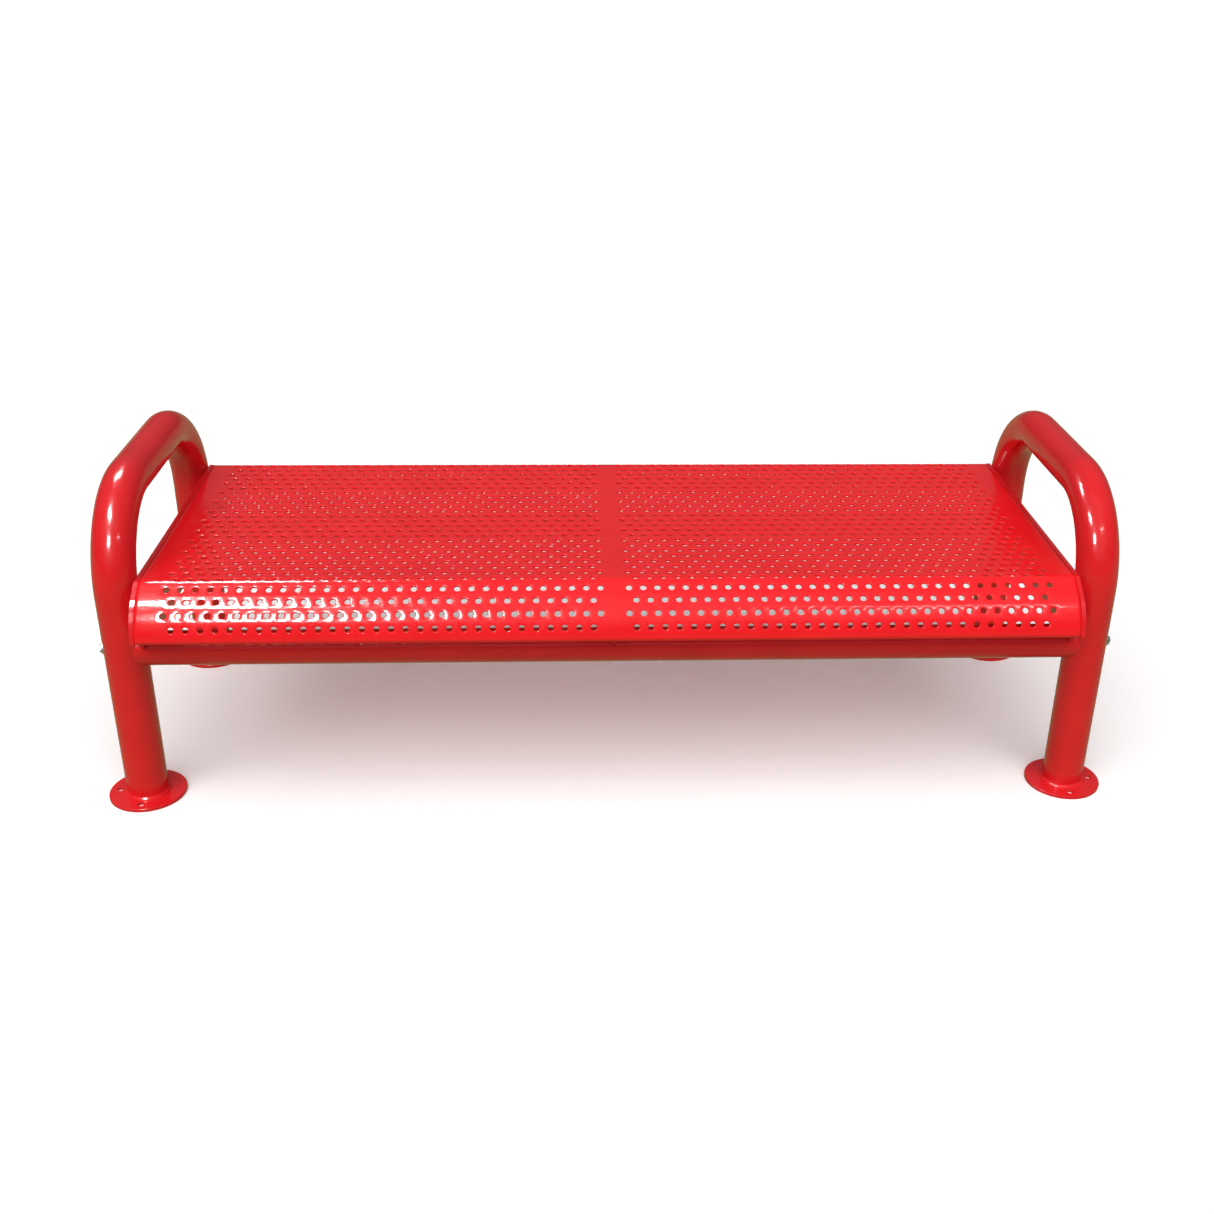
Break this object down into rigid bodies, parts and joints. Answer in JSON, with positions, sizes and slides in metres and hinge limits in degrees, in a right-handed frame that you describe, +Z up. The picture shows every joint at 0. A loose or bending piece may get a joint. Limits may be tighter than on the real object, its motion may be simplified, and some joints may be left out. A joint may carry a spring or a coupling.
{
  "type": "backless bench",
  "caption": "Backless street bench with bent tube end frames, round base flanges, tube rails and a perforated sheet seat with rolled edges.",
  "frame": {"origin": "centre of the footprint, on the ground under the base flanges", "axes": "+X along the bench, +Z up, -Y towards the front"},
  "size_m": [1.91, 0.7436, 0.6154],
  "materials": {
    "red_coat": "glossy red coating",
    "zinc_hardware": "zinc plated"
  },
  "bodies": {
    "root": {"seat_panel": "red_coat", "seat_centre_rib": "red_coat", "front_rail": "red_coat", "rear_rail": "red_coat", "end_frame_left": "red_coat", "seat_end_plate_left": "red_coat", "base_flange_front_left": "red_coat", "base_weld_front_left": "red_coat", "rail_plug_front_left": "zinc_hardware", "frame_washer_front_left": "zinc_hardware", "frame_bolt_front_left": "zinc_hardware", "base_flange_rear_left": "red_coat", "base_weld_rear_left": "red_coat", "rail_plug_rear_left": "zinc_hardware", "frame_washer_rear_left": "zinc_hardware", "frame_bolt_rear_left": "zinc_hardware", "end_frame_right": "red_coat", "seat_end_plate_right": "red_coat", "base_flange_front_right": "red_coat", "base_weld_front_right": "red_coat", "rail_plug_front_right": "zinc_hardware", "frame_washer_front_right": "zinc_hardware", "frame_bolt_front_right": "zinc_hardware", "base_flange_rear_right": "red_coat", "base_weld_rear_right": "red_coat", "rail_plug_rear_right": "zinc_hardware", "frame_washer_rear_right": "zinc_hardware", "frame_bolt_rear_right": "zinc_hardware"}
  },
  "joints": []
}
